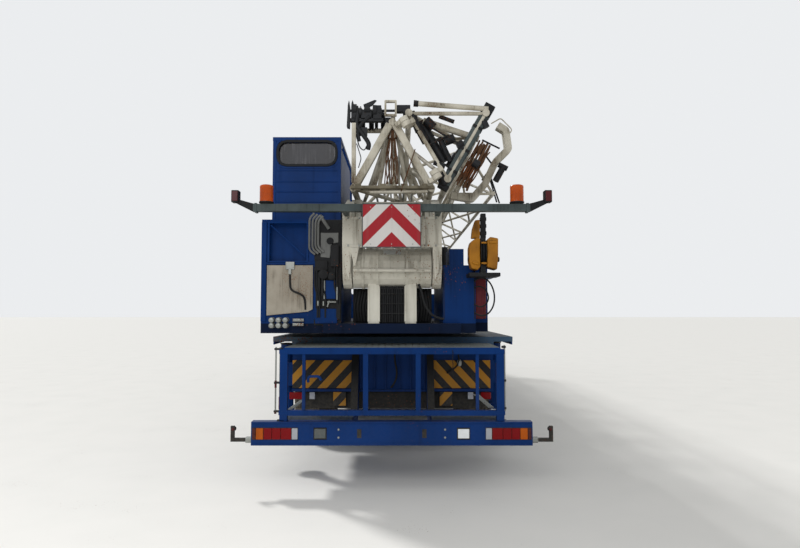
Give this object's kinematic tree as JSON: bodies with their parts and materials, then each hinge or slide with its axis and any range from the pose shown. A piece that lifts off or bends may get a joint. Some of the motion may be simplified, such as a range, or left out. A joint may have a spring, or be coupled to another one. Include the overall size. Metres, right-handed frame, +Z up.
{
  "type": "mobile tower crane",
  "caption": "Folding tower crane on a truck carrier in transport state, with lattice mast, jib folded alongside, operator's cab, outriggers and steered axles.",
  "frame": {"origin": "on the ground, midway between the crane's ends and between its sides", "axes": "+Y forward over the driver's cab, +X to the right, +Z up"},
  "size_m": [3.16, 14.4, 4],
  "materials": {
    "carrier_blue": "satin",
    "mast_white": "satin",
    "galvanised": "matte",
    "dark_steel": "satin",
    "axle_black": "matte",
    "bright_rod": "polished",
    "tyre_rubber": "matte",
    "lamp_red": "gloss",
    "beacon_orange": "gloss",
    "board_red": "satin",
    "hook_amber": "satin",
    "cab_glass": "gloss",
    "trim_dark": "matte",
    "engine_iron": "matte",
    "ballast": "matte"
  },
  "bodies": {
    "carrier": {"chassis_frame": "carrier_blue", "deck": "carrier_blue", "rear_bumper": "carrier_blue", "front_bumper": "carrier_blue", "lamps": "lamp_red", "marker_arms": "trim_dark", "rear_guard": "carrier_blue", "side_lockers": "carrier_blue", "engine_block": "engine_iron", "engine_hood": "carrier_blue", "driver_cab": "carrier_blue", "cab_glass": "cab_glass", "cab_interior": "trim_dark", "slew_ring": "dark_steel", "axles": "axle_black"},
    "superstructure": {"turntable": "carrier_blue", "counterweight": "ballast", "mast_stand": "mast_white", "operator_cab": "carrier_blue", "operator_glass": "cab_glass", "power_unit": "carrier_blue", "hook_block": "hook_amber", "winch": "dark_steel"},
    "mast": {"mast_outer": "mast_white", "light_beam": "galvanised", "warning_board": "board_red", "beacons": "beacon_orange"},
    "inner_mast": {"mast_inner": "mast_white"},
    "raise_barrels": {"raise_barrels": "dark_steel"},
    "raise_rods": {"raise_rods": "bright_rod"},
    "jib_root": {"jib_root": "mast_white"},
    "jib_mid": {"jib_mid": "mast_white"},
    "jib_tip": {"jib_tip": "mast_white"},
    "wheel_one_left": {"wheel_one_left": "tyre_rubber"},
    "knuckle_one_left": {"knuckle_one_left": "axle_black"},
    "wheel_one_right": {"wheel_one_right": "tyre_rubber"},
    "knuckle_one_right": {"knuckle_one_right": "axle_black"},
    "wheel_two_left": {"wheel_two_left": "tyre_rubber"},
    "knuckle_two_left": {"knuckle_two_left": "axle_black"},
    "wheel_two_right": {"wheel_two_right": "tyre_rubber"},
    "knuckle_two_right": {"knuckle_two_right": "axle_black"},
    "wheel_three_left": {"wheel_three_left": "tyre_rubber"},
    "wheel_three_right": {"wheel_three_right": "tyre_rubber"},
    "wheel_four_left": {"wheel_four_left": "tyre_rubber"},
    "knuckle_four_left": {"knuckle_four_left": "axle_black"},
    "wheel_four_right": {"wheel_four_right": "tyre_rubber"},
    "knuckle_four_right": {"knuckle_four_right": "axle_black"},
    "outrigger_beam_front_left": {"outrigger_beam_front_left": "carrier_blue"},
    "jack_front_left": {"jack_front_left": "dark_steel"},
    "outrigger_beam_front_right": {"outrigger_beam_front_right": "carrier_blue"},
    "jack_front_right": {"jack_front_right": "dark_steel"},
    "outrigger_beam_rear_left": {"outrigger_beam_rear_left": "carrier_blue"},
    "jack_rear_left": {"jack_rear_left": "dark_steel"},
    "outrigger_beam_rear_right": {"outrigger_beam_rear_right": "carrier_blue"},
    "jack_rear_right": {"jack_rear_right": "dark_steel"},
    "cab_door_left": {"cab_door_left": "carrier_blue"},
    "cab_door_right": {"cab_door_right": "carrier_blue"},
    "operator_door": {"operator_door": "carrier_blue"}
  },
  "joints": [
    {"name": "slew", "type": "hinge", "parent": "carrier", "child": "superstructure", "pos_m": [0, -3.7, 1.52], "axis": [0, 0, 1], "continuous": true},
    {"name": "mast_raise", "type": "hinge", "parent": "superstructure", "child": "mast", "pos_m": [0, -6.6, 2.19], "axis": [1, 0, 0], "range_deg": [0, 90]},
    {"name": "barrel_swing", "type": "hinge", "parent": "superstructure", "child": "raise_barrels", "pos_m": [0, -6.3, 1.7], "axis": [1, 0, 0], "range_deg": [0, 87]},
    {"name": "rod_reach", "type": "slide", "parent": "raise_barrels", "child": "raise_rods", "axis": [0, 0.9907, 0.1358], "range_m": [0, 0.779]},
    {"name": "mast_reach", "type": "slide", "parent": "mast", "child": "inner_mast", "axis": [0, 1, 0], "range_m": [0, 7.5]},
    {"name": "jib_raise", "type": "hinge", "parent": "inner_mast", "child": "jib_root", "pos_m": [0, 6.95, 3.04], "axis": [-1, 0, 0], "range_deg": [0, 120]},
    {"name": "jib_fold", "type": "hinge", "parent": "jib_root", "child": "jib_mid", "pos_m": [0.0866, -6.68, 3.80014], "axis": [0.5, 0, -0.866], "range_deg": [0, 180]},
    {"name": "tip_fold", "type": "hinge", "parent": "jib_mid", "child": "jib_tip", "pos_m": [0.63517, 5.46, 3.11], "axis": [0.5, 0, 0.866], "range_deg": [0, 180]},
    {"name": "steer_one_left", "type": "hinge", "parent": "carrier", "child": "knuckle_one_left", "pos_m": [-0.88, 4.05, 0.65], "axis": [0, 0, 1], "range_deg": [-35, 35]},
    {"name": "roll_one_left", "type": "hinge", "parent": "knuckle_one_left", "child": "wheel_one_left", "pos_m": [-1.18, 4.05, 0.65], "axis": [1, 0, 0], "continuous": true},
    {"name": "steer_one_right", "type": "hinge", "parent": "carrier", "child": "knuckle_one_right", "pos_m": [0.88, 4.05, 0.65], "axis": [0, 0, 1], "range_deg": [-35, 35]},
    {"name": "roll_one_right", "type": "hinge", "parent": "knuckle_one_right", "child": "wheel_one_right", "pos_m": [1.18, 4.05, 0.65], "axis": [1, 0, 0], "continuous": true},
    {"name": "steer_two_left", "type": "hinge", "parent": "carrier", "child": "knuckle_two_left", "pos_m": [-0.88, 2.4, 0.65], "axis": [0, 0, 1], "range_deg": [-26.4, 26.4]},
    {"name": "roll_two_left", "type": "hinge", "parent": "knuckle_two_left", "child": "wheel_two_left", "pos_m": [-1.18, 2.4, 0.65], "axis": [1, 0, 0], "continuous": true},
    {"name": "steer_two_right", "type": "hinge", "parent": "carrier", "child": "knuckle_two_right", "pos_m": [0.88, 2.4, 0.65], "axis": [0, 0, 1], "range_deg": [-26.4, 26.4]},
    {"name": "roll_two_right", "type": "hinge", "parent": "knuckle_two_right", "child": "wheel_two_right", "pos_m": [1.18, 2.4, 0.65], "axis": [1, 0, 0], "continuous": true},
    {"name": "roll_three_left", "type": "hinge", "parent": "carrier", "child": "wheel_three_left", "pos_m": [-1.18, -2.35, 0.65], "axis": [1, 0, 0], "continuous": true},
    {"name": "roll_three_right", "type": "hinge", "parent": "carrier", "child": "wheel_three_right", "pos_m": [1.18, -2.35, 0.65], "axis": [1, 0, 0], "continuous": true},
    {"name": "steer_four_left", "type": "hinge", "parent": "carrier", "child": "knuckle_four_left", "pos_m": [-0.88, -4, 0.65], "axis": [0, 0, 1], "range_deg": [-18.5, 18.5]},
    {"name": "roll_four_left", "type": "hinge", "parent": "knuckle_four_left", "child": "wheel_four_left", "pos_m": [-1.18, -4, 0.65], "axis": [1, 0, 0], "continuous": true},
    {"name": "steer_four_right", "type": "hinge", "parent": "carrier", "child": "knuckle_four_right", "pos_m": [0.88, -4, 0.65], "axis": [0, 0, 1], "range_deg": [-18.5, 18.5]},
    {"name": "roll_four_right", "type": "hinge", "parent": "knuckle_four_right", "child": "wheel_four_right", "pos_m": [1.18, -4, 0.65], "axis": [1, 0, 0], "continuous": true},
    {"name": "beam_front_left", "type": "slide", "parent": "carrier", "child": "outrigger_beam_front_left", "axis": [-1, 0, 0], "range_m": [0, 1.5]},
    {"name": "jack_front_left", "type": "slide", "parent": "outrigger_beam_front_left", "child": "jack_front_left", "axis": [0, 0, -1], "range_m": [0, 0.42]},
    {"name": "beam_front_right", "type": "slide", "parent": "carrier", "child": "outrigger_beam_front_right", "axis": [1, 0, 0], "range_m": [0, 1.5]},
    {"name": "jack_front_right", "type": "slide", "parent": "outrigger_beam_front_right", "child": "jack_front_right", "axis": [0, 0, -1], "range_m": [0, 0.42]},
    {"name": "beam_rear_left", "type": "slide", "parent": "carrier", "child": "outrigger_beam_rear_left", "axis": [-1, 0, 0], "range_m": [0, 1.5]},
    {"name": "jack_rear_left", "type": "slide", "parent": "outrigger_beam_rear_left", "child": "jack_rear_left", "axis": [0, 0, -1], "range_m": [0, 0.42]},
    {"name": "beam_rear_right", "type": "slide", "parent": "carrier", "child": "outrigger_beam_rear_right", "axis": [1, 0, 0], "range_m": [0, 1.5]},
    {"name": "jack_rear_right", "type": "slide", "parent": "outrigger_beam_rear_right", "child": "jack_rear_right", "axis": [0, 0, -1], "range_m": [0, 0.42]},
    {"name": "cab_door_left", "type": "hinge", "parent": "carrier", "child": "cab_door_left", "pos_m": [-1.26, 6.15, 1.2], "axis": [0, 0, -1], "range_deg": [0, 75]},
    {"name": "cab_door_right", "type": "hinge", "parent": "carrier", "child": "cab_door_right", "pos_m": [1.26, 6.15, 1.2], "axis": [0, 0, 1], "range_deg": [0, 75]},
    {"name": "operator_door", "type": "hinge", "parent": "superstructure", "child": "operator_door", "pos_m": [-1.3, -5.05, 2.5], "axis": [0, 0, -1], "range_deg": [0, 90]}
  ],
  "couplings": [
    {"joint": "barrel_swing", "follows": "mast_raise", "ratio": 0.9461},
    {"joint": "rod_reach", "follows": "mast_raise", "m_per_rad": 0.48982},
    {"joint": "steer_one_right", "follows": "steer_one_left", "ratio": 1},
    {"joint": "steer_two_left", "follows": "steer_one_left", "ratio": 0.72},
    {"joint": "steer_two_right", "follows": "steer_one_left", "ratio": 0.72},
    {"joint": "steer_four_left", "follows": "steer_one_left", "ratio": -0.5},
    {"joint": "steer_four_right", "follows": "steer_one_left", "ratio": -0.5}
  ]
}
